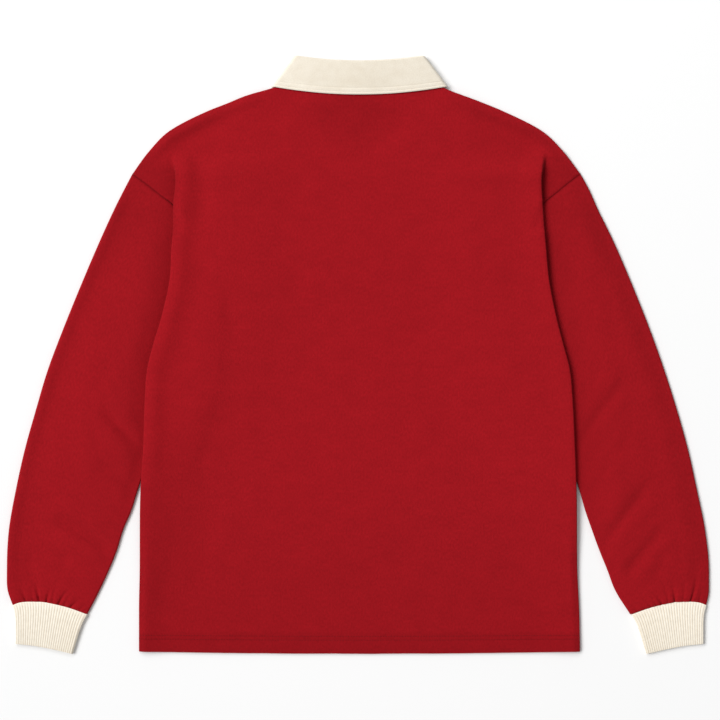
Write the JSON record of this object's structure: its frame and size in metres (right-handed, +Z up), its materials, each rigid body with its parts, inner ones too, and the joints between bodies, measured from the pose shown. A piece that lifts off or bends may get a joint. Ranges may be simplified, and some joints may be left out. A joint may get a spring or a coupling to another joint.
{
  "type": "knit polo shirt",
  "caption": "Long-sleeved knit polo shirt laid flat with its back up, with a turned-down collar, ribbed cuffs and a buttoned front placket underneath.",
  "frame": {"origin": "centre of the outline, on the surface that the garment lies on", "axes": "+X to the right of the view from above, +Y towards the collar, +Z up from the surface"},
  "size_m": [0.912, 0.7755, 0.0107],
  "materials": {
    "jersey_red": "heavy cotton jersey, matt",
    "rib_cream": "cotton rib knit, matt",
    "twill_cream": "cotton twill, matt",
    "button_cream": "smooth, satin"
  },
  "bodies": {
    "root": {"back": "jersey_red", "front": "jersey_red", "sleeve_left": "jersey_red", "sleeve_right": "jersey_red", "cuff_left": "rib_cream", "cuff_right": "rib_cream", "collar": "twill_cream", "placket_over": "twill_cream", "placket_under": "twill_cream", "button_1": "button_cream", "button_2": "button_cream", "button_3": "button_cream"}
  },
  "joints": []
}
